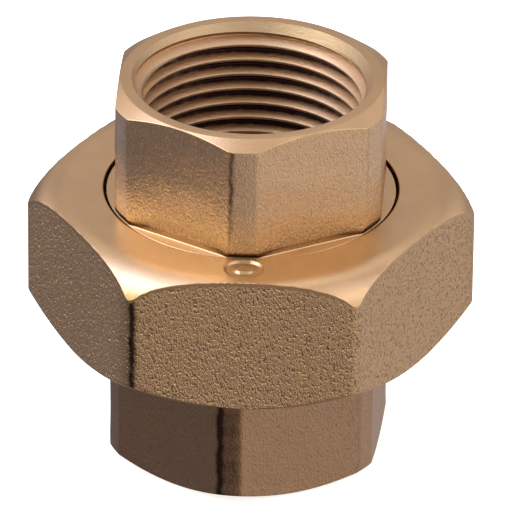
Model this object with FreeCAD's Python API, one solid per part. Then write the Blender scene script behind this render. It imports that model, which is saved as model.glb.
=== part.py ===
import FreeCAD, Part

# Flat-seat pipe union, both ends internal ISO 228 G 1. Millimetres, +Z up the bore axis,
# z = 0 on the bottom end face. Four separate pieces: the lower end with its threaded spigot,
# the sealing ring on its flat seat, the tail end standing on the ring, and the union nut that
# hangs on the tail's collar and screws down the spigot.

import math
import os

from FreeCAD import Vector

# overall
HEIGHT = 57.4
LOWER_CLIP_R = 20.75
TAIL_CLIP_R = 20.5  # the tail's hexagon has to pass through the hole in the nut
LOWER_HEX_AF = 37.5
TAIL_HEX_AF = 37.2
NUT_AF = 55.0
TAIL_CLOCK = 4.4  # degrees each hexagon stands turned from the lower one
NUT_CLOCK = 5.4

# levels along the axis
LOWER_HEX_TOP_Z = 18.3
SEAT_Z = 30.7
RING_TOP_Z = 32.7
COLLAR_TOP_Z = 36.0
NECK_TOP_Z = 39.7
NUT_BOTTOM_Z = 19.7
NUT_TOP_Z = 40.0

# threads, both 11 turns to the inch with 55 degree flanks
PITCH = 2.309
FLANK = math.tan(math.radians(27.5))
CREST_FLAT = PITCH / 6
PORT_MAJOR_R = 16.6245
PORT_CREST_R = 15.32
PORT_DRILL_R = 15.146
PORT_THREAD_LENGTH = 17.2
PORT_RELIEF = 2.3
PORT_RELIEF_R = 16.75
PORT_DRILL_LENGTH = 2.8
PASSAGE_R = 14.0
SPIGOT_MAJOR_R = 23.9015
SPIGOT_CREST_R = 23.82
SPIGOT_ROOT_R = 22.423
SPIGOT_RELIEF_TOP_Z = 21.1
SPIGOT_RELIEF_R = 22.2
SPIGOT_THREAD_START_Z = 19.6
NUT_CREST_R = 22.573
NUT_ROOT_R = 24.05
NUT_RELIEF_Z = 32.0
NUT_RELIEF_R = 24.2
FLANK_ALLOWANCE = 0.1  # each groove is this much wider than the basic profile

# collar, neck and lip
COLLAR_R = 22.2
NECK_R = 20.4
NUT_HOLE_R = 20.8

# sealing ring
RING_OUTER_R = 21.8
RING_INNER_R = 15.0

# chamfers and edge rounding
TOP_FACE_R = 18.4
BOTTOM_FACE_R = 18.0
END_SLOPE = math.tan(math.radians(30))
MOUTH_R = 16.85
MOUTH_DEPTH = 0.9
NUT_CROWN_R = 25.8  # where the flat top of the nut starts to curve down
NUT_CROWN_ROUND = 6.335
NUT_BOTTOM_FACE_R = 27.4
NUT_BOTTOM_SLOPE = math.tan(math.radians(35))
NUT_CORNER_ROUND = 1.65
HEX_CORNER_ROUND = 0.6

# plain oval mark sunk in the top of the nut over one flat
MARK_R = 23.7
MARK_LENGTH = 5.2
MARK_WIDTH = 4.4
MARK_DEPTH = 0.3
MARK_BOSS_LENGTH = 2.6
MARK_BOSS_WIDTH = 1.8


def cylinder(radius, z0, z1):
    """A solid cylinder on the axis."""
    return Part.makeCylinder(radius, z1 - z0, Vector(0, 0, z0))


def turned(outline):
    """The solid swept by a closed outline of (radius, height) points about the axis."""
    points = [Vector(r, 0, z) for r, z in outline]
    face = Part.Face(Part.makePolygon(points + points[:1]))
    return face.revolve(Vector(0, 0, 0), Vector(0, 0, 1), 360)


def hexagon(across_flats, z0, z1, clock, corner_round):
    """A hexagonal prism with one corner turned by clock degrees from -Y and rounded corners."""
    radius = across_flats / math.sqrt(3)
    angles = [math.radians(60 * i - 90 + clock) for i in range(7)]
    points = [Vector(radius * math.cos(a), radius * math.sin(a), z0) for a in angles]
    prism = Part.Face(Part.makePolygon(points)).extrude(Vector(0, 0, z1 - z0))
    uprights = [e for e in prism.Edges if abs(e.tangentAt(e.FirstParameter).z) > 0.99]
    return prism.makeFillet(corner_round, uprights)


def groove(profile, z0, z1, start):
    """A right-hand helical cutter of (inner r, width there, outer r, width there).

    It begins start degrees round from +X, and where it passes +X is z0 plus whole pitches.
    """
    inner_r, inner_width, outer_r, outer_width = profile
    outline = Part.makePolygon(
        [
            Vector(inner_r, 0, -inner_width / 2),
            Vector(outer_r, 0, -outer_width / 2),
            Vector(outer_r, 0, outer_width / 2),
            Vector(inner_r, 0, inner_width / 2),
            Vector(inner_r, 0, -inner_width / 2),
        ]
    )
    helix = Part.makeHelix(PITCH, z1 - z0, inner_r)
    cutter = Part.Wire(helix).makePipeShell([outline], True, True)
    if cutter.Volume < 0:
        cutter.reverse()
    cutter.rotate(Vector(0, 0, 0), Vector(0, 0, 1), start)
    cutter.translate(Vector(0, 0, z0 + PITCH * start / 360))
    return cutter


def threaded(body, profile, z0, z1):
    """The body with a helical groove cut in it.

    The cut can be lost where an end of the groove meets the seam of a round face, so the
    removed volume is checked and the groove is started elsewhere if it is missing.
    """
    for start in (0, 30, 90, 150):
        cutter = groove(profile, z0, z1, start)
        result = body.cut(cutter)
        if body.Volume - result.Volume > cutter.Volume / 4:
            return result
    raise RuntimeError("a thread groove was not cut")


def internal_profile(major_r, crest_r, root_r, allowance):
    """The groove of an internal thread, from a little inside its crests."""
    inner_r = crest_r - 0.12
    inner_width = CREST_FLAT + 2 * (major_r - inner_r) * FLANK + allowance
    outer_width = CREST_FLAT + 2 * (major_r - root_r) * FLANK + allowance
    return (inner_r, inner_width, root_r, outer_width)


def external_profile(root_r, crest_r, allowance):
    """The groove of an external thread, to a little outside its crests."""
    outer_r = crest_r + 0.1
    outer_width = CREST_FLAT + 2 * (outer_r - root_r) * FLANK + allowance
    return (root_r, CREST_FLAT + allowance, outer_r, outer_width)


def cut_port(body, face_z, inward):
    """Cuts the G 1 thread, its relief, the plain tapping bore and the chamfered mouth.

    inward is +1 for the bottom face and -1 for the top one.
    """
    thread_z = face_z + inward * PORT_THREAD_LENGTH
    relief_z = thread_z + inward * PORT_RELIEF
    drill_z = relief_z + inward * PORT_DRILL_LENGTH
    outside_z = face_z - inward

    def bore(radius, za, zb):
        return cylinder(radius, min(za, zb), max(za, zb))

    body = body.cut(bore(PORT_CREST_R, outside_z, thread_z + inward))
    body = body.cut(bore(PORT_RELIEF_R, thread_z, relief_z))
    body = body.cut(bore(PORT_DRILL_R, relief_z - inward, drill_z))
    start_z = face_z - inward * 1.5
    end_z = thread_z + inward * PORT_RELIEF / 2
    low_z = min(start_z, end_z)
    high_z = max(start_z, end_z)
    profile = internal_profile(PORT_MAJOR_R, PORT_CREST_R, PORT_MAJOR_R, 0)
    body = threaded(body, profile, low_z, high_z)
    mouth = turned(
        [
            (0, face_z - inward * 4),
            (MOUTH_R + 4, face_z - inward * 4),
            (MOUTH_R, face_z),
            (MOUTH_R - MOUTH_DEPTH, face_z + inward * MOUTH_DEPTH),
            (0, face_z + inward * MOUTH_DEPTH),
        ]
    )
    return body.cut(mouth)


def make_lower_end():
    drop = (LOWER_CLIP_R - BOTTOM_FACE_R) * END_SLOPE
    envelope = turned(
        [
            (0, 0),
            (BOTTOM_FACE_R, 0),
            (LOWER_CLIP_R, drop),
            (LOWER_CLIP_R, LOWER_HEX_TOP_Z - 0.8),
            (LOWER_CLIP_R - 1.4, LOWER_HEX_TOP_Z),
            (0, LOWER_HEX_TOP_Z),
        ]
    )
    hexed = hexagon(LOWER_HEX_AF, 0, LOWER_HEX_TOP_Z, 0, HEX_CORNER_ROUND).common(envelope)
    spigot = turned(
        [
            (0, LOWER_HEX_TOP_Z - 2),
            (SPIGOT_RELIEF_R - 4, LOWER_HEX_TOP_Z - 2),
            (SPIGOT_RELIEF_R, LOWER_HEX_TOP_Z),
            (SPIGOT_RELIEF_R, SPIGOT_RELIEF_TOP_Z),
            (SPIGOT_CREST_R, SPIGOT_RELIEF_TOP_Z + 1),
            (SPIGOT_CREST_R, SEAT_Z - 1.6),
            (SPIGOT_ROOT_R - 0.3, SEAT_Z),
            (0, SEAT_Z),
        ]
    )
    body = hexed.fuse(spigot)
    profile = external_profile(SPIGOT_ROOT_R, SPIGOT_CREST_R, FLANK_ALLOWANCE)
    body = threaded(body, profile, SPIGOT_THREAD_START_Z, SEAT_Z + 1.4)
    body = cut_port(body, 0, 1)
    return body.cut(cylinder(PASSAGE_R, 5, SEAT_Z + 1))


def make_tail_end():
    drop = (TAIL_CLIP_R - TOP_FACE_R) * END_SLOPE
    envelope = turned(
        [
            (0, NECK_TOP_Z),
            (TAIL_CLIP_R, NECK_TOP_Z),
            (TAIL_CLIP_R, HEIGHT - drop),
            (TOP_FACE_R, HEIGHT),
            (0, HEIGHT),
        ]
    )
    hexed = hexagon(TAIL_HEX_AF, NECK_TOP_Z, HEIGHT, TAIL_CLOCK, HEX_CORNER_ROUND)
    foot = turned(
        [
            (0, RING_TOP_Z),
            (COLLAR_R - 0.6, RING_TOP_Z),
            (COLLAR_R, RING_TOP_Z + 0.6),
            (COLLAR_R, COLLAR_TOP_Z),
            (NECK_R, COLLAR_TOP_Z),
            (NECK_R, NECK_TOP_Z),
            (0, NECK_TOP_Z),
        ]
    )
    body = hexed.common(envelope).fuse(foot)
    body = cut_port(body, HEIGHT, -1)
    return body.cut(cylinder(PASSAGE_R, RING_TOP_Z - 1, HEIGHT))


def make_sealing_ring():
    return cylinder(RING_OUTER_R, SEAT_Z, RING_TOP_Z).cut(
        cylinder(RING_INNER_R, SEAT_Z - 1, RING_TOP_Z + 1)
    )


def oval(length, width, z0, z1):
    """An upright prism of stadium section, long along X."""
    half = (length - width) / 2
    ends = [
        Part.makeCylinder(width / 2, z1 - z0, Vector(x, 0, z0)) for x in (-half, half)
    ]
    middle = Part.makeBox(2 * half, width, z1 - z0, Vector(-half, -width / 2, z0))
    return ends[0].fuse(middle).fuse(ends[1]).removeSplitter()


def nut_envelope():
    """A conical bottom edge and a top that curves down smoothly from its flat annulus."""
    reach = NUT_CROWN_R + NUT_CROWN_ROUND
    middle = NUT_CROWN_ROUND * math.sqrt(0.5)
    shoulder_z = NUT_TOP_Z - NUT_CROWN_ROUND
    foot_z = NUT_BOTTOM_Z + (reach - NUT_BOTTOM_FACE_R) * NUT_BOTTOM_SLOPE
    crown = Vector(NUT_CROWN_R, 0, NUT_TOP_Z)
    shoulder = Vector(reach, 0, shoulder_z)
    on_arc = Vector(NUT_CROWN_R + middle, 0, shoulder_z + middle)
    foot = Vector(reach, 0, foot_z)
    bottom = Vector(NUT_BOTTOM_FACE_R, 0, NUT_BOTTOM_Z)
    low = Vector(0, 0, NUT_BOTTOM_Z)
    high = Vector(0, 0, NUT_TOP_Z)
    edges = [
        Part.makeLine(low, bottom),
        Part.makeLine(bottom, foot),
        Part.makeLine(foot, shoulder),
        Part.Arc(shoulder, on_arc, crown).toShape(),
        Part.makeLine(crown, high),
        Part.makeLine(high, low),
    ]
    return Part.Face(Part.Wire(edges)).revolve(Vector(0, 0, 0), Vector(0, 0, 1), 360)


def make_union_nut():
    body = hexagon(NUT_AF, NUT_BOTTOM_Z, NUT_TOP_Z, 30 + NUT_CLOCK, NUT_CORNER_ROUND)
    body = body.common(nut_envelope())
    body = body.cut(cylinder(NUT_HOLE_R, NUT_BOTTOM_Z - 1, NUT_TOP_Z + 1))
    body = body.cut(cylinder(NUT_CREST_R, NUT_BOTTOM_Z - 1, COLLAR_TOP_Z - 1))
    profile = internal_profile(SPIGOT_MAJOR_R, NUT_CREST_R, NUT_ROOT_R, FLANK_ALLOWANCE)
    start_z = SPIGOT_THREAD_START_Z - 1.5 * PITCH  # half a pitch off, crest in groove
    body = threaded(body, profile, start_z, NUT_RELIEF_Z + 1.5)
    body = body.cut(cylinder(NUT_RELIEF_R, NUT_RELIEF_Z, COLLAR_TOP_Z))
    mouth = turned(
        [
            (0, NUT_BOTTOM_Z - 1),
            (NUT_ROOT_R + 1.4, NUT_BOTTOM_Z - 1),
            (NUT_CREST_R - 0.1, NUT_BOTTOM_Z + 1.88),
            (0, NUT_BOTTOM_Z + 1.88),
        ]
    )
    body = body.cut(mouth)
    recess = oval(MARK_LENGTH, MARK_WIDTH, NUT_TOP_Z - MARK_DEPTH, NUT_TOP_Z + 1)
    boss = oval(
        MARK_BOSS_LENGTH, MARK_BOSS_WIDTH, NUT_TOP_Z - MARK_DEPTH - 0.5, NUT_TOP_Z - 0.05
    )
    mark = recess.cut(boss)
    mark.translate(Vector(0, -MARK_R, 0))
    mark.rotate(Vector(0, 0, 0), Vector(0, 0, 1), NUT_CLOCK)
    return body.cut(mark)


pieces = {
    "lower_end": make_lower_end(),
    "sealing_ring": make_sealing_ring(),
    "tail_end": make_tail_end(),
    "union_nut": make_union_nut(),
}
os.makedirs("parts", exist_ok=True)
for name, shape in pieces.items():
    solid = shape.Solids[0]
    print(name, solid.isValid(), len(shape.Solids), round(solid.Volume), len(solid.Faces))
    solid.exportStep(f"parts/{name}.step")
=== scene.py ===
import math

import bmesh
import bpy
import numpy as np
from mathutils import Matrix, Vector


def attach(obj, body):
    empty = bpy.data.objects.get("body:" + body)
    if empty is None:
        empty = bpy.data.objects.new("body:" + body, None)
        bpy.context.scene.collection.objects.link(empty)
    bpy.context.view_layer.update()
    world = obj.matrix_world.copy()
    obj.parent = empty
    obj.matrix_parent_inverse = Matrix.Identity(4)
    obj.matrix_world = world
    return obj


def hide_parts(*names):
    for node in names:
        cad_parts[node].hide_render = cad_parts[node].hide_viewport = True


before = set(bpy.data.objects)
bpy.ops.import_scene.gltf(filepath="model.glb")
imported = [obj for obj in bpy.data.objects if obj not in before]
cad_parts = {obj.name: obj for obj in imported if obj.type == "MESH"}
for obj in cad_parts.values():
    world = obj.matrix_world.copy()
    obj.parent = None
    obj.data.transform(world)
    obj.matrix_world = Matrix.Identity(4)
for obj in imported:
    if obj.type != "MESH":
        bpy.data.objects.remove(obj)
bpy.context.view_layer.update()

MM = 0.001

# ---------------------------------------------------------------- sizes, in mm
HEIGHT = 57.4
LOWER_CLIP_R, TAIL_CLIP_R = 20.72, 20.47
LOWER_AF, TAIL_AF, NUT_AF = 37.5, 37.2, 55.0
TAIL_CLOCK, NUT_CLOCK = 4.4, 5.4  # degrees turned from the lower hexagon
PITCH = 2.309
PORT_MAJOR_R, PORT_CREST_R, PORT_DRILL_R = 16.62, 15.2, 15.15
PORT_DEPTH, PORT_THREAD = 22.3, 18.8
PASSAGE_R = 14.0
MOUTH_R = 16.85
MOUTH_SLOPE = 0.62  # how fast the mouth narrows
MOUTH_SHADE_RAMP = 1.6  # a groove's painted shade is full this far behind the mouth's cone
PORT_FADE, SPIGOT_FADE = 2.2, 1.6  # a thread has its full depth this far from its blind end
TOP_FACE_R, BOTTOM_FACE_R = 18.4, 18.0
HEX_TOP, SEAT = 18.3, 30.7
HEX_TOP_SLOPE = 0.57  # of the lower hexagon's turned top
SHOULDER_R, WAIST_R = 19.25, 18.4  # where that top ends, and the step in under the spigot
SEAT_R = 21.9
TAIL_FOOT, COLLAR_TOP, NECK_TOP = 32.7, 36.0, 39.7
COLLAR_R, NECK_R, HOLE_R = 22.2, 20.4, 20.8
SPIGOT_CREST_R, SPIGOT_ROOT_R, SPIGOT_RELIEF_R = 23.82, 22.42, 22.2
NUT_CREST_R, NUT_ROOT_R, NUT_RELIEF_R, NUT_MOUTH_R = 22.573, 24.05, 24.2, 25.3
NUT_BOTTOM, NUT_TOP = 19.7, 40.0
NUT_FOOT_R = 27.4
NUT_THREAD_TOP, NUT_RELIEF_FOOT = 32.3, 32.5
NUT_PAINT_R, NUT_PAINT_REACH = 26.5, 9.2  # painted shade outside this radius, this far from its middle
MARK_R, MARK_DEPTH = 23.7, 0.36
CROWN_R, CROWN_ROUND = 25.8, 6.335  # the nut's top curves down from here
TAIL_PHASE, LOWER_PHASE, SPIGOT_PHASE = 1.8, -1.5, 19.6  # where a groove passes +X
WALL_ROWS, NUT_WALL_ROWS, NUT_TOP_ROWS = 34, 36, 36
WALL_FADE = 1.5  # the flats' unevenness dies out over this
# in degrees: between rows' points, beside a corner and between them there, and the least kept
BASE_STEP, CORNER_REACH, CORNER_STEP, LEAST_STEP = 1.5, 5.6, 0.4, 0.12
SHARP_ANGLE = 38  # degrees, from which an edge is shaded sharp

# ---------------------------------------------------------------- camera
CAMERA_AZIMUTH, CAMERA_ELEVATION, CAMERA_ROLL = 7.5, 29.13, 0.62  # degrees
CAMERA_DISTANCE, AIM_HEIGHT = 1.0981, 0.02985  # metres
LENS = 548.8285  # mm
SHIFT_X, SHIFT_Y = 0.0087255, -0.011098  # parts of the picture's width


# ---------------------------------------------------------------- mesh building
def hex_reach(angle, across_flats, clock, corner_round):
    """Distance from the axis to a hexagon with rounded corners, one clock degrees from -Y."""
    a = across_flats / 2
    local = (np.degrees(angle) + 90 - clock) % 60  # 0 and 60 are corners, 30 a flat's middle
    from_corner = np.radians(np.minimum(local, 60 - local))
    from_flat = np.radians(30) - from_corner
    straight = a / np.cos(from_flat)
    centre = (a - corner_round) / math.cos(math.radians(30))
    inside = np.maximum(corner_round**2 - (centre * np.sin(from_corner)) ** 2, 0)
    arc = centre * np.cos(from_corner) + np.sqrt(inside)
    limit = math.atan((a - corner_round) * math.tan(math.radians(30)) / a)
    return np.where(from_flat <= limit, straight, arc)


def beside_corners(angle, z, clock, offset, width, weights, power=2, wander=0.2):
    """A band along a line offset degrees from each corner, as strong as the corner's weight, for a
    groove or for painted shade or highlight.

    It wanders and comes and goes a little on its way up.
    """
    turned = np.degrees(angle) + 90 - clock - offset + 30
    turned = turned + wander * (np.sin(1.1 * z) + np.sin(2.3 * z + 2))
    corner = (turned // 60).astype(int) % 6
    away = turned % 60 - 30
    patchy = 0.85 + 0.15 * np.sin(0.7 * z + 1.7 * corner) * np.sin(1.7 * z + corner)
    return np.exp(-np.abs(away / width) ** power) * np.asarray(weights)[corner] * patchy


def soft_min(a, b, k):
    h = np.clip(0.5 + 0.5 * (b - a) / k, 0, 1)
    return b * (1 - h) + a * h - k * h * (1 - h)


def fillet(p0, p1, p2, radius, n):
    """Arc points rounding the corner p1 of a path, for arrays of corners, shape (n, angles, 2)."""
    u = p0 - p1
    v = p2 - p1
    lu = np.linalg.norm(u, axis=1, keepdims=True)
    lv = np.linalg.norm(v, axis=1, keepdims=True)
    u, v = u / lu, v / lv
    cosine = np.clip((u * v).sum(1, keepdims=True), -0.9999, 0.9999)
    half = np.arccos(cosine) / 2
    reach = np.minimum(radius / np.tan(half), 0.45 * np.minimum(lu, lv))
    r = reach * np.tan(half)
    mid = u + v
    mid /= np.linalg.norm(mid, axis=1, keepdims=True)
    centre = p1 + mid * r / np.sin(half)
    a, b = p1 + u * reach - centre, p1 + v * reach - centre
    out = []
    for t in np.linspace(0, 1, n):
        w = a * (1 - t) + b * t
        w *= r / np.linalg.norm(w, axis=1, keepdims=True)
        out.append(centre + w)
    return out


def span(p, q, n):
    """n rows strictly between two rows."""
    return [p + (q - p) * i / (n + 1) for i in range(1, n + 1)]


# one pitch of a thread from a groove's middle: how far along it, and how deep
ALONG = [0, 0.05, 0.083, 0.11, 0.25, 0.39, 0.42, 0.455, 0.545, 0.58, 0.61, 0.75, 0.89, 0.917, 0.95]
DEPTH = [1, 0.99, 0.95, 0.9, 0.5, 0.1, 0.04, 0.0, 0.0, 0.04, 0.1, 0.5, 0.9, 0.95, 0.99]


def thread_rows(angle, z_open, z_blind, phase, crest_r, root_r, open_r, fade):
    """Rows of a right-hand thread from its chamfered open end to where it runs out.

    phase is the height where a groove's middle passes +X. The rows climb with the helix, so
    crests and roots stay sharp, and they fold onto the two ends, where the weld joins them. The
    third value of a point is how deep in the groove it is, which sets the painted shade there.
    """
    lo, hi = min(z_open, z_blind), max(z_open, z_blind)
    sense = 1 if root_r > crest_r else -1
    rows = []
    for turn in range(math.floor((lo - phase) / PITCH) - 1, math.ceil((hi - phase) / PITCH) + 1):
        for k, depth in zip(ALONG, DEPTH):
            z = phase + (turn + k + angle / (2 * math.pi)) * PITCH
            z = np.clip(z, lo, hi)
            left = np.clip(np.abs(z - z_blind) / fade, 0, 1)
            r = crest_r + (root_r - crest_r) * depth * left
            cone = open_r - sense * MOUTH_SLOPE * np.abs(z - z_open)
            below = np.clip(sense * (r - cone) / MOUTH_SHADE_RAMP, 0, 1)
            r = np.maximum(r, cone) if sense > 0 else np.minimum(r, cone)
            # painted shade, made deeper towards +Y, on the back wall of the bore
            back_wall_shade = 0.88 + 0.3 * np.clip(np.sin(angle), 0, 1) ** 3
            rows.append(np.stack([r, z, depth * left * below * back_wall_shade], 1))
    return rows if z_blind > z_open else rows[::-1]


def angles_for(clock, extra):
    """Angles round the axis, from 0 to a full turn, closer together at hexagon corners.

    extra lists more places for close angles: where, how far either side and how close.
    """
    out = set(np.round(np.arange(0, 360, BASE_STEP), 4))
    for corner in range(6):
        at = -90 + clock + 60 * corner
        near = np.arange(-CORNER_REACH, CORNER_REACH + 0.01, CORNER_STEP)
        out |= set(np.round((at + near) % 360, 4))
    for at, half, step in extra:
        out |= set(np.round((at + np.arange(-half, half + 0.01, step)) % 360, 4))
    out = np.array(sorted(out))
    keep = np.concatenate([[True], np.diff(out) > LEAST_STEP])
    out = out[keep]
    return np.radians(np.concatenate([out, [out[0] + 360]]))


def skin(name, path, body, node, slot, materials, painted_light, outside_of, lift=None):
    """The closed piece of a path, in place of a CAD node.

    The painted light function gives the painted shade of a point outside a radius, for its angle
    and height. Above 0 it paints shade, and below 0 a highlight.
    """
    angle, kinds = path.angle, path.kinds
    rows = np.stack(path.rows)  # (rows, angles, 3)
    r, z, painted_shading = rows[..., 0], rows[..., 1], rows[..., 2]
    painted_shading = painted_shading + painted_light(angle[None, :], z) * (r > outside_of)
    xyz = np.stack([r * np.cos(angle), r * np.sin(angle), z], 2)
    if lift is not None:
        xyz = lift(xyz)
    n, m = r.shape
    me = bpy.data.meshes.new(name)
    index = np.arange(n * m).reshape(n, m)
    nxt = np.roll(index, -1, 0)
    quads = np.stack([index[:, :-1], index[:, 1:], nxt[:, 1:], nxt[:, :-1]], 2).reshape(-1, 4)
    me.from_pydata((xyz.reshape(-1, 3) * MM).tolist(), [], quads.tolist())
    me.polygons.foreach_set("material_index", np.repeat(np.array(kinds), m - 1).astype(np.int32))
    # the painted shade and highlight of each point, read by the materials
    layer = me.attributes.new("painted_light", "FLOAT", "POINT")
    layer.data.foreach_set("value", painted_shading.ravel().astype(np.float32))
    bm = bmesh.new()
    bm.from_mesh(me)
    bmesh.ops.remove_doubles(bm, verts=bm.verts, dist=1.5e-6)
    bmesh.ops.dissolve_degenerate(bm, edges=bm.edges, dist=1e-6)
    bmesh.ops.recalc_face_normals(bm, faces=bm.faces)
    bm.to_mesh(me)
    bm.free()
    for material in materials:
        me.materials.append(material)
    me.shade_smooth()
    me.set_sharp_from_angle(angle=math.radians(SHARP_ANGLE))
    ob = bpy.data.objects.new(name, me)
    bpy.context.scene.collection.objects.link(ob)
    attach(ob, body)
    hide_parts(node)


class Path:
    """Rows of a meridian, each with the material of the strip that follows it.

    A point is its radius, its height and how much painted shade it has.
    """

    def __init__(self, angle):
        self.angle, self.rows, self.kinds = angle, [], []

    def add(self, rows, kind):
        for points in rows:
            clean = np.zeros((len(points), 3 - points.shape[1]))
            self.rows.append(np.hstack([points, clean]))
            self.kinds.append(kind)

    def row(self, radius, z):
        """A row whose radius and height are each one number or one for every angle."""
        count = len(self.angle)
        r = np.broadcast_to(np.asarray(radius, float), count)
        h = np.broadcast_to(np.asarray(z, float), count)
        return np.stack([r, h], 1)

    def corner(self, before, at, after, radius, n, kind):
        self.add(fillet(before, at, after, radius, n), kind)


# ---------------------------------------------------------------- materials
def shader(name):
    mat = bpy.data.materials.new(name)
    mat.use_nodes = True
    nt = mat.node_tree
    bsdf = nt.nodes["Principled BSDF"]
    return mat, nt, bsdf


def node(nt, kind, inputs=(), **props):
    n = nt.nodes.new(kind)
    for k, v in props.items():
        setattr(n, k, v)
    for socket, value in inputs:
        if isinstance(value, bpy.types.NodeSocket):
            nt.links.new(value, n.inputs[socket])
        else:
            n.inputs[socket].default_value = value
    return n


def math_node(nt, op, a, b=0.0, c=None, clamp=False):
    ins = [(0, a), (1, b)] + ([(2, c)] if c is not None else [])
    return node(nt, "ShaderNodeMath", ins, operation=op, use_clamp=clamp).outputs[0]


def ramp(nt, fac, stops):
    n = nt.nodes.new("ShaderNodeValToRGB")
    e = n.color_ramp.elements
    while len(e) < len(stops):
        e.new(0.5)
    for el, (pos, col) in zip(e, stops):
        el.position = pos
        el.color = (*col, 1)
    nt.links.new(fac, n.inputs[0])
    return n.outputs[0]


def grey(v):
    return (v, v, v)


def noise(nt, coords, scale, detail, rough):
    ins = [("Vector", coords), ("Scale", scale), ("Detail", detail), ("Roughness", rough)]
    return node(nt, "ShaderNodeTexNoise", ins).outputs["Fac"]


def mix_rgb(nt, fac, a, b):
    n = nt.nodes.new("ShaderNodeMix")
    n.data_type = "RGBA"
    for socket, value in ((n.inputs[0], fac), (n.inputs[6], a), (n.inputs[7], b)):
        if isinstance(value, bpy.types.NodeSocket):
            nt.links.new(value, socket)
        else:
            socket.default_value = (*value, 1)
    return n.outputs[2]


def shifted(nt, seed):
    """Object coordinates moved away from where another material's grain is."""
    place = node(nt, "ShaderNodeTexCoord").outputs["Object"]
    ins = [(0, place), (1, (seed, seed * 0.7, seed * 1.3))]
    return node(nt, "ShaderNodeVectorMath", ins, operation="ADD").outputs[0]


def stretched(nt, at, height_scale):
    """Coordinates whose height is scaled, for a grain longer or shorter along the axis."""
    ins = [("Vector", at), ("Scale", (1.0, 1.0, height_scale))]
    return node(nt, "ShaderNodeMapping", ins).outputs[0]


def axis_distance(nt):
    """Distance from the bore axis, in metres, and the height."""
    xyz = node(nt, "ShaderNodeSeparateXYZ", [(0, node(nt, "ShaderNodeTexCoord").outputs["Object"])])
    x, y, z = xyz.outputs
    squares = math_node(nt, "MULTIPLY_ADD", x, x, math_node(nt, "MULTIPLY", y, y))
    return math_node(nt, "SQRT", squares), z


def cast_skin(name, seed, relief, pitting, matt, bronze):
    """Shot-blasted bronze: a fine grainy skin with small pits, with painted shade or painted
    highlights along some edges.

    relief is the bump's height in metres.
    """
    mat, nt, bsdf = shader(name)
    at = shifted(nt, seed)
    upright = stretched(nt, at, 0.55)
    grain = noise(nt, upright, 4700, 2.0, 0.5)
    pits = noise(nt, upright, 3400, 1.0, 0.5)
    swell = noise(nt, at, 1100, 2.0, 0.5)
    pit = ramp(nt, pits, [(0.3, grey(0.0)), (0.46, grey(1.0))])
    h = math_node(nt, "MULTIPLY_ADD", pit, pitting, grain)
    h = math_node(nt, "MULTIPLY_ADD", swell, 0.5, h)
    bump = node(nt, "ShaderNodeBump", [("Strength", 1.0), ("Distance", relief), ("Height", h)])
    dark = tuple(c * 0.36 for c in bronze)
    bright = tuple(c * 1.15 for c in bronze)
    tone = mix_rgb(nt, ramp(nt, grain, [(0.35, grey(0.0)), (0.7, grey(1.0))]), bronze, bright)
    tone = mix_rgb(nt, ramp(nt, pits, [(0.3, grey(pitting)), (0.45, grey(0.0))]), tone, dark)
    # the painted light attribute: above 0 mixes in a near-black painted shade
    painted_shading = node(nt, "ShaderNodeAttribute", attribute_name="painted_light").outputs["Fac"]
    speckle = ramp(nt, grain, [(0.3, grey(1.0)), (0.75, grey(0.7))])
    speckled_shade = math_node(nt, "MULTIPLY", painted_shading, speckle)
    tone = mix_rgb(nt, speckled_shade, tone, (0.045, 0.026, 0.022))
    # below 0 it mixes in a bright painted highlight
    painted_highlight = math_node(nt, "MULTIPLY", painted_shading, -1.0, clamp=True)
    tone = mix_rgb(nt, painted_highlight, tone, (0.9, 0.7, 0.5))
    nt.links.new(tone, bsdf.inputs["Base Color"])
    rough = math_node(nt, "MULTIPLY_ADD", grain, 0.1, matt)
    nt.links.new(rough, bsdf.inputs["Roughness"])
    nt.links.new(bump.outputs[0], bsdf.inputs["Normal"])
    bsdf.inputs["Metallic"].default_value = 1.0
    return mat


def turned_bronze(name, seed, bronze):
    """Machined bronze with fine tool marks that run round the axis."""
    mat, nt, bsdf = shader(name)
    radius, height = axis_distance(nt)
    along = math_node(nt, "ADD", math_node(nt, "MULTIPLY_ADD", height, 0.7, radius), seed)
    ins = [("W", along), ("Scale", 9000.0), ("Detail", 2.0)]
    tool = node(nt, "ShaderNodeTexNoise", ins, noise_dimensions="1D").outputs["Fac"]
    at = shifted(nt, seed)
    blotch = noise(nt, at, 110, 3.0, 0.6)
    fine = noise(nt, at, 2200, 2.0, 0.6)
    h = math_node(nt, "MULTIPLY_ADD", fine, 0.8, math_node(nt, "MULTIPLY", tool, 0.5))
    bump = node(nt, "ShaderNodeBump", [("Strength", 0.5), ("Distance", 0.00004), ("Height", h)])
    dark = tuple(c * 0.9 for c in bronze)
    tone = mix_rgb(nt, ramp(nt, blotch, [(0.38, grey(0)), (0.64, grey(1))]), bronze, dark)
    nt.links.new(tone, bsdf.inputs["Base Color"])
    rough = math_node(nt, "MULTIPLY_ADD", blotch, 0.12, 0.2)
    nt.links.new(rough, bsdf.inputs["Roughness"])
    nt.links.new(bump.outputs[0], bsdf.inputs["Normal"])
    bsdf.inputs["Metallic"].default_value = 1.0
    return mat


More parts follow.
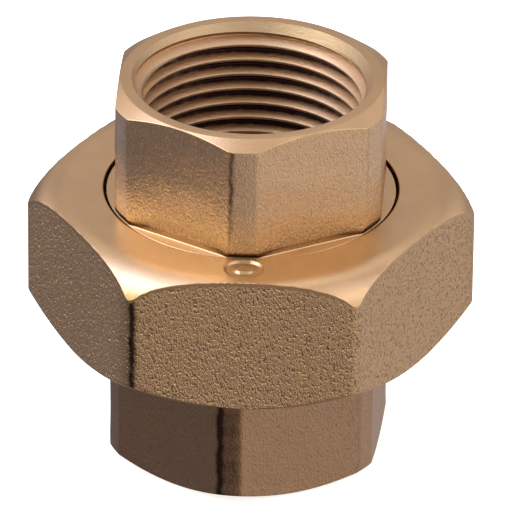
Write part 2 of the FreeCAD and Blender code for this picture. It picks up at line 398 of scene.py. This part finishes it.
def thread_bronze(name, seed):
    """Cut threads, with painted shade in the roots and a painted highlight on the crests."""
    mat, nt, bsdf = shader(name)
    depth = node(nt, "ShaderNodeAttribute", attribute_name="painted_light").outputs["Fac"]
    at = shifted(nt, seed)
    streak = noise(nt, stretched(nt, at, 3.0), 700.0, 3.0, 0.6)
    grain = noise(nt, at, 2600.0, 2.0, 0.6)
    ragged = math_node(nt, "MULTIPLY", depth, math_node(nt, "MULTIPLY_ADD", streak, 0.6, 0.7))
    # from a painted highlight on the crest to painted shade deep in the root
    stops = [
        (0.0, (0.5, 0.36, 0.23)),
        (0.2, (0.52, 0.31, 0.165)),
        (0.64, (0.48, 0.275, 0.14)),
        (0.88, (0.12, 0.062, 0.055)),
        (1.0, (0.05, 0.024, 0.03)),
    ]
    nt.links.new(ramp(nt, ragged, stops), bsdf.inputs["Base Color"])
    h = math_node(nt, "ADD", grain, streak)
    bump = node(nt, "ShaderNodeBump", [("Strength", 0.8), ("Distance", 0.00006), ("Height", h)])
    nt.links.new(bump.outputs[0], bsdf.inputs["Normal"])
    bsdf.inputs["Metallic"].default_value = 1.0
    bsdf.inputs["Roughness"].default_value = 0.48
    return mat


def ring_rubber(name):
    mat, nt, bsdf = shader(name)
    obj = node(nt, "ShaderNodeTexCoord").outputs["Object"]
    grain = noise(nt, obj, 1400, 3.0, 0.6)
    tone = mix_rgb(nt, grain, (0.035, 0.035, 0.036), (0.06, 0.058, 0.055))
    nt.links.new(tone, bsdf.inputs["Base Color"])
    bump = node(nt, "ShaderNodeBump", [("Strength", 0.4), ("Distance", 0.00005), ("Height", grain)])
    nt.links.new(bump.outputs[0], bsdf.inputs["Normal"])
    bsdf.inputs["Roughness"].default_value = 0.7
    return mat


# the lower end's bronze is darker than the tail's: painted shade from the nut above it
SHADED_LOWER_BRONZE, TAIL_BRONZE = (0.38, 0.245, 0.145), (0.61, 0.425, 0.255)
NUT_BRONZE, TURNED_BRONZE = (0.56, 0.38, 0.215), (0.56, 0.375, 0.213)
SHADED_CAST_LOWER = cast_skin("cast_skin_lower_shaded", 0.013, 0.0001, 0.2, 0.28, SHADED_LOWER_BRONZE)
CAST_TAIL = cast_skin("cast_skin_tail", 0.131, 0.00012, 0.2, 0.23, TAIL_BRONZE)
CAST_NUT = cast_skin("cast_skin_nut", 0.257, 0.00022, 0.65, 0.32, NUT_BRONZE)
TURNED = turned_bronze("turned_bronze", 0.3, TURNED_BRONZE)
THREAD = thread_bronze("thread_bronze", 0.4)
CAST, SMOOTH, CUT = 0, 1, 2  # the order of a piece's materials


def undulate(reach, angle, z, amount, seed):
    """The slow unevenness of a forged face, in mm."""
    x, y = reach * np.cos(angle), reach * np.sin(angle)
    rng = np.random.default_rng(seed)
    total = 0
    for _ in range(9):
        k = rng.normal(0, 0.55, 3)
        total = total + np.sin(k[0] * x + k[1] * y + k[2] * z + rng.uniform(0, 6.28))
    return amount * total / 3


# ---------------------------------------------------------------- the pieces
def wall(path, low, high, rows, amount, seed):
    """The cast flats between two edges, a little uneven but true at both edges."""
    for q in span(low, high, rows):
        fade = np.minimum(q[:, 1] - low[:, 1], high[:, 1] - q[:, 1]) / WALL_FADE
        fade = np.clip(fade, 0, 1)
        q[:, 0] += undulate(q[:, 0], path.angle, q[:, 1], amount, seed) * fade
        path.add([q], CAST)


END_SLOPE = math.tan(math.radians(30))  # of the turned ends of the two end hexagons
# grooves, painted shade and painted highlights beside the corners, with a strength for each corner
GROOVE = dict(offset=-4.7, width=0.9, weights=(1.2, 0.35, 0.6, 0.5, 0.7, 0.5))
GROOVE_DEPTH = 0.07
# painted shade in a dark line beside the lower end's corners
LOWER_LINE = dict(offset=-3.8, width=1.3, weights=(1.1, 0.35, 0.6, 0.5, 0.7, 0.5))
FINE_STEPS = (2.0, 0.2)  # degrees either side of a groove, and between them
# painted highlight on the tail's corner strips, strongest at the left-front corner
HIGHLIT_CORNERS = dict(offset=0, width=5.0, power=6, weights=(0.45, 0.15, 0.3, 0.3, 0.3, 0.9))
# painted shade over the lower end's corner strips, strongest at the front corner
SHADED_CORNERS = dict(offset=-0.4, width=4.6, power=6, weights=(0.75, 0.0, 0.2, 0.3, 0.25, 0.15))


def groove_angles(clock):
    return [(-90 + clock + GROOVE["offset"] + 60 * i, *FINE_STEPS) for i in range(6)]


def end_reach(angle, across_flats, clock, clip_r):
    """A hexagon whose corners are turned off to a radius, with a fine groove beside each one."""
    reach = soft_min(hex_reach(angle, across_flats, clock, corner_round=0.4), clip_r, k=0.12)
    return reach - GROOVE_DEPTH * beside_corners(angle, 0, clock, **GROOVE)


def make_tail():
    a = angles_for(TAIL_CLOCK, groove_angles(TAIL_CLOCK))
    p = Path(a)
    R = p.row
    reach = end_reach(a, TAIL_AF, TAIL_CLOCK, TAIL_CLIP_R)
    p.add([R(PASSAGE_R, TAIL_FOOT), R(COLLAR_R - 0.6, TAIL_FOOT)], SMOOTH)
    p.add([R(COLLAR_R, TAIL_FOOT + 0.6)], SMOOTH)
    p.add([R(COLLAR_R, COLLAR_TOP - 0.1), R(COLLAR_R - 0.1, COLLAR_TOP)], SMOOTH)
    neck_foot, neck_edge = R(NECK_R, COLLAR_TOP), R(NECK_R, NECK_TOP)
    p.corner(R(COLLAR_R - 0.1, COLLAR_TOP), neck_foot, neck_edge, 0.3, 4, SMOOTH)
    foot = R(np.minimum(reach, NECK_R - 0.16), NECK_TOP)
    low = R(reach, NECK_TOP + 0.45)
    rim = R(TOP_FACE_R, HEIGHT)
    high = R(reach, HEIGHT - (reach - TOP_FACE_R) * END_SLOPE)
    p.corner(neck_foot, neck_edge, foot, 0.12, 4, SMOOTH)
    p.corner(neck_edge, foot, low, 0.35, 5, SMOOTH)
    wall(p, low, high, WALL_ROWS, amount=0.035, seed=3)
    p.corner(low, high, rim, 0.16, 5, SMOOTH)
    p.add(span(high, rim, 5), SMOOTH)
    p.corner(high, rim, R(MOUTH_R, HEIGHT), 0.2, 4, SMOOTH)
    p.add([R(MOUTH_R + 0.15, HEIGHT)], SMOOTH)
    blind, end = HEIGHT - PORT_THREAD, HEIGHT - PORT_DEPTH
    port = (PORT_CREST_R, PORT_MAJOR_R, MOUTH_R, PORT_FADE)
    p.add(thread_rows(a, HEIGHT, blind, TAIL_PHASE, *port), CUT)
    p.add([R(PORT_DRILL_R, blind - 0.3), R(PORT_DRILL_R, end)], CUT)
    p.add([R(PASSAGE_R + 0.6, end), R(PASSAGE_R, end - 0.6)], CUT)

    def painted_light(angle, z):
        # painted shade along the groove beside each corner, fading out towards the bottom
        rising = np.clip((z - NECK_TOP) / 9, 0, 1)
        line = beside_corners(angle, z, TAIL_CLOCK, **GROOVE) * rising
        # less the painted highlight on the corner strips
        return line - beside_corners(angle, z, TAIL_CLOCK, **HIGHLIT_CORNERS)

    materials = [CAST_TAIL, TURNED, THREAD]
    names = ("tail", "tail_end", "end_bronze")
    skin("tail_end_bronze", p, *names, materials, painted_light, TOP_FACE_R)


def make_lower():
    a = angles_for(0.0, groove_angles(0.0))
    p = Path(a)
    R = p.row
    reach = end_reach(a, LOWER_AF, 0.0, LOWER_CLIP_R)
    shoulder = np.minimum(reach - 0.01, SHOULDER_R)
    rim, low = R(BOTTOM_FACE_R, 0), R(reach, (reach - BOTTOM_FACE_R) * END_SLOPE)
    high = R(reach, HEX_TOP - 0.02 - (reach - shoulder) * HEX_TOP_SLOPE)
    top = R(shoulder, HEX_TOP)
    p.add([R(MOUTH_R + 0.15, 0)], SMOOTH)
    p.corner(R(MOUTH_R, 0), rim, low, 0.25, 4, SMOOTH)
    p.add(span(rim, low, 5), SMOOTH)
    p.corner(rim, low, high, 0.16, 5, CAST)
    wall(p, low, high, WALL_ROWS, amount=0.035, seed=5)
    p.corner(low, high, top, 0.16, 4, SMOOTH)
    p.add([top, R(WAIST_R, HEX_TOP + 0.01)], SMOOTH)
    p.add([R(WAIST_R, HEX_TOP + 0.4), R(SPIGOT_RELIEF_R, HEX_TOP + 1.2)], CUT)
    p.add([R(SPIGOT_RELIEF_R, HEX_TOP + 2)], CUT)
    start = HEX_TOP + 2.7
    spigot = (SPIGOT_CREST_R, SPIGOT_ROOT_R, SPIGOT_RELIEF_R, SPIGOT_FADE)
    p.add(thread_rows(a, SEAT, start, SPIGOT_PHASE, *spigot)[::-1], CUT)
    p.add([R(SEAT_R, SEAT), R(PASSAGE_R + 0.5, SEAT), R(PASSAGE_R, SEAT - 0.5)], SMOOTH)
    p.add([R(PASSAGE_R, PORT_DEPTH + 0.6), R(PASSAGE_R + 0.6, PORT_DEPTH)], CUT)
    p.add([R(PORT_DRILL_R, PORT_DEPTH), R(PORT_DRILL_R, PORT_THREAD + 0.3)], CUT)
    port = (PORT_CREST_R, PORT_MAJOR_R, MOUTH_R, PORT_FADE)
    p.add(thread_rows(a, 0, PORT_THREAD, LOWER_PHASE, *port)[::-1], CUT)

    def painted_light(angle, z):
        # painted shade in a line beside each corner and over the corner strips, on the hexagon only
        line = beside_corners(angle, z, 0, **LOWER_LINE)
        return (line + beside_corners(angle, z, 0, **SHADED_CORNERS)) * (z < HEX_TOP)

    materials = [SHADED_CAST_LOWER, TURNED, THREAD]
    names = ("lower", "lower_end", "end_bronze")
    skin("lower_end_bronze", p, *names, materials, painted_light, BOTTOM_FACE_R)


def mark(xyz):
    """Sinks a plain oval with a plain raised boss in the top of the nut, over one flat."""
    turn = math.radians(NUT_CLOCK)
    x = xyz[..., 0] * math.cos(turn) + xyz[..., 1] * math.sin(turn)
    y = -xyz[..., 0] * math.sin(turn) + xyz[..., 1] * math.cos(turn) + MARK_R

    def inside(length, width, soft):
        half = (length - width) / 2
        away = np.hypot(np.maximum(np.abs(x) - half, 0), y) - width / 2
        return np.clip(0.5 - away / soft, 0, 1)

    on_top = np.abs(xyz[..., 2] - NUT_TOP) < 0.02
    oval, boss = inside(5.2, 4.4, 0.25), inside(2.6, 1.8, 0.25)
    depth = MARK_DEPTH * oval * (1 - 0.85 * boss)
    out = xyz.copy()
    out[..., 2] -= depth * on_top
    return out


# painted shade on the nut: a thin dark line beside each corner and a broad soft shade next to it,
# strongest at the left-front corner
NUT_EDGE = dict(offset=0.9, width=0.8, weights=(0.1, 0.3, 0.1, 0.5, 0.2, 1.4), wander=0.08)
NUT_SHADE = dict(offset=-1.4, width=3.0, weights=(0.0, 0.1, 0.0, 0.2, 0.1, 0.38), wander=0.3)


def crown(radius):
    """Height of the nut's top, flat and then curving down."""
    out = np.clip(radius - CROWN_R, 0, CROWN_ROUND)
    return NUT_TOP - CROWN_ROUND + np.sqrt(CROWN_ROUND**2 - out**2)


MARK_STEPS = (7.5, 0.35)  # degrees either side of the mark, and between them


def make_nut():
    clock = 30 + NUT_CLOCK
    a = angles_for(clock, [(-90 + NUT_CLOCK, *MARK_STEPS)])
    p = Path(a)
    R = p.row
    reach = hex_reach(a, NUT_AF, clock, corner_round=1.65)
    ragged = 0.05 * np.sin(97 * a + 1) * np.sin(61 * a + 2) + 0.04 * np.sin(173 * a)
    bottom_slope = math.tan(math.radians(35))
    foot = R(NUT_FOOT_R, NUT_BOTTOM)
    high = R(reach, crown(reach) + ragged)
    low = R(reach, NUT_BOTTOM + (reach - NUT_FOOT_R) * bottom_slope)
    hole_top = R(HOLE_R, NUT_TOP)
    flat_end = R(CROWN_R, NUT_TOP)
    p.corner(R(HOLE_R, COLLAR_TOP), hole_top, flat_end, 0.15, 4, SMOOTH)
    p.add(span(R(HOLE_R + 0.2, NUT_TOP), flat_end, NUT_TOP_ROWS), SMOOTH)
    for t in np.linspace(0, 0.94, 12):
        radius = CROWN_R + (reach - CROWN_R) * t
        p.add([R(radius, crown(radius))], SMOOTH)
    p.corner(p.rows[-1][:, :2], high, low, 0.28, 6, SMOOTH)
    wall(p, high, low, NUT_WALL_ROWS, amount=0.06, seed=8)
    p.corner(high, low, foot, 0.35, 6, SMOOTH)
    p.add(span(low, foot, 5), SMOOTH)
    p.corner(low, foot, R(NUT_MOUTH_R, NUT_BOTTOM), 0.4, 4, SMOOTH)
    p.add([R(NUT_MOUTH_R + 0.1, NUT_BOTTOM)], CUT)
    phase = SPIGOT_PHASE - 1.5 * PITCH
    thread = (NUT_CREST_R, NUT_ROOT_R, NUT_MOUTH_R, SPIGOT_FADE)
    p.add(thread_rows(a, NUT_BOTTOM, NUT_THREAD_TOP, phase, *thread), CUT)
    p.add([R(NUT_RELIEF_R, NUT_RELIEF_FOOT), R(NUT_RELIEF_R, COLLAR_TOP)], CUT)
    p.add([R(HOLE_R + 0.1, COLLAR_TOP), R(HOLE_R, COLLAR_TOP + 0.2)], SMOOTH)
    p.add([R(HOLE_R, NUT_TOP - 0.8)], SMOOTH)

    def painted_light(angle, z):
        # painted shade beside the nut's corners, on its flats, fading in below the top
        upper = np.clip((crown(np.interp(angle, a, reach)) - z) / 0.5, 0, 1)
        outside = np.abs(z - (NUT_TOP + NUT_BOTTOM) / 2) < NUT_PAINT_REACH
        line = beside_corners(angle, z, clock, **NUT_EDGE)
        return (line + beside_corners(angle, z, clock, **NUT_SHADE)) * upper * outside

    materials = [CAST_NUT, TURNED, THREAD]
    names = ("nut", "union_nut", "nut_bronze")
    skin("union_nut_bronze", p, *names, materials, painted_light, NUT_PAINT_R, mark)


make_tail()
make_lower()
make_nut()
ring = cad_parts["sealing_ring"]
ring.data.materials.clear()
ring.data.materials.append(ring_rubber("ring_rubber"))


# ---------------------------------------------------------------- floor, light and camera
bpy.ops.mesh.primitive_plane_add(size=6, location=(0, 0, -0.0002))
floor = bpy.context.object
floor.name = "floor"
floor_mat, _, floor_bsdf = shader("pale_floor")
floor_bsdf.inputs["Base Color"].default_value = (0.93, 0.93, 0.93, 1)
floor_bsdf.inputs["Roughness"].default_value = 0.9
floor_bsdf.inputs["Specular IOR Level"].default_value = 0.1
floor_bsdf.inputs["Emission Color"].default_value = (1, 1, 1, 1)
floor_bsdf.inputs["Emission Strength"].default_value = 0.7
floor.data.materials.append(floor_mat)
floor.visible_glossy = False

world = bpy.data.worlds.new("studio")
bpy.context.scene.world = world
world.use_nodes = True
wnt = world.node_tree
wnt.nodes.clear()
direction = node(wnt, "ShaderNodeTexCoord").outputs["Generated"]


def heading(azimuth, elevation):
    """The direction so many degrees to the right of where the camera stands, and so high."""
    a, e = math.radians(CAMERA_AZIMUTH + azimuth), math.radians(elevation)
    return Vector((math.sin(a) * math.cos(e), -math.cos(a) * math.cos(e), math.sin(e)))


def lobe(towards, low, high, amount=1.0, kind="SMOOTHSTEP"):
    """0 to amount as a direction turns towards this one, between two cosines."""
    ins = [(0, direction), (1, towards)]
    dot = node(wnt, "ShaderNodeVectorMath", ins, operation="DOT_PRODUCT").outputs["Value"]
    ins = [("Value", dot), ("From Min", low), ("From Max", high), ("To Max", amount)]
    return node(wnt, "ShaderNodeMapRange", ins, interpolation_type=kind).outputs[0]


def tinted(level, colour):
    """A level as a colour."""
    ins = [(0, colour), ("Scale", level)]
    return node(wnt, "ShaderNodeVectorMath", ins, operation="SCALE").outputs[0]


def plus(a, b):
    return node(wnt, "ShaderNodeVectorMath", [(0, a), (1, b)], operation="ADD").outputs[0]


# below the horizon a dim table, lit from the right; above it a studio with a bright left side
table = math_node(wnt, "POWER", lobe(heading(54, 0), -0.52, 0.875, kind="LINEAR"), 2.8)
table = math_node(wnt, "MULTIPLY_ADD", table, 0.68, 0.085)
for place, low, high, amount in (
    ((-150, -29), 0.3, 0.9, 0.17),
    ((-48, -27), 0.93, 0.985, 0.26),
    ((0, -28), 0.85, 0.98, 0.04),
    ((135, -29), 0.3, 0.9, 0.38),
):
    table = math_node(wnt, "ADD", table, lobe(heading(*place), low, high, amount))
studio = tinted(0.68, (1.0, 0.9, 0.84))
for place, low, high, amount, colour in (
    ((-66, 32), 0.76, 0.97, 1.2, (0.98, 0.93, 0.32)),
    ((-80, 50), 0.86, 0.985, 1.7, (0.9, 1.1, 1.9)),
    ((-104, 56), 0.86, 0.985, 1.0, (0.95, 1.1, 1.6)),
    ((-122, 24), 0.82, 0.97, 0.6, (1.0, 1.0, 1.1)),
    ((56, 24), 0.7, 0.95, 0.76, (0.98, 0.96, 0.8)),
    ((76, 50), 0.86, 0.98, 0.6, (1.0, 1.0, 1.3)),
    ((122, 24), 0.8, 0.97, 0.4, (1.0, 1.0, 1.0)),
    ((180, 60), 0.86, 0.98, 0.65, (1.0, 0.97, 1.0)),
    ((0, 90), 0.8, 0.98, 0.25, (1.0, 0.95, 0.85)),
):
    studio = plus(studio, tinted(lobe(heading(*place), low, high, amount), colour))
rising = lobe(Vector((0, 0, 1)), -0.1, 0.25)
hue = mix_rgb(wnt, lobe(heading(90, -29), 0.2, 0.9), (0.98, 0.8, 0.72), (1.0, 0.92, 0.93))
hue = mix_rgb(wnt, lobe(heading(-95, -29), 0.2, 0.9), hue, (1.0, 0.92, 1.1))
total = mix_rgb(wnt, rising, tinted(table, hue), studio)
background = node(wnt, "ShaderNodeBackground", [("Color", total), ("Strength", 1.0)])
node(wnt, "ShaderNodeOutputWorld", [("Surface", background.outputs[0])])

target = Vector((0, 0, AIM_HEIGHT))
cam_data = bpy.data.cameras.new("camera")
cam = bpy.data.objects.new("camera", cam_data)
bpy.context.scene.collection.objects.link(cam)
cam.location = target + heading(0, CAMERA_ELEVATION) * CAMERA_DISTANCE
look = (target - cam.location).to_track_quat("-Z", "Y").to_matrix().to_4x4()
roll = Matrix.Rotation(math.radians(CAMERA_ROLL), 4, "Z")
cam.matrix_world = Matrix.Translation(cam.location) @ look @ roll
cam_data.sensor_width = 36
cam_data.lens = LENS
cam_data.shift_x, cam_data.shift_y = SHIFT_X, SHIFT_Y
cam_data.clip_start, cam_data.clip_end = 0.05, 20
bpy.context.scene.camera = cam
bpy.context.scene.view_settings.view_transform = "Standard"
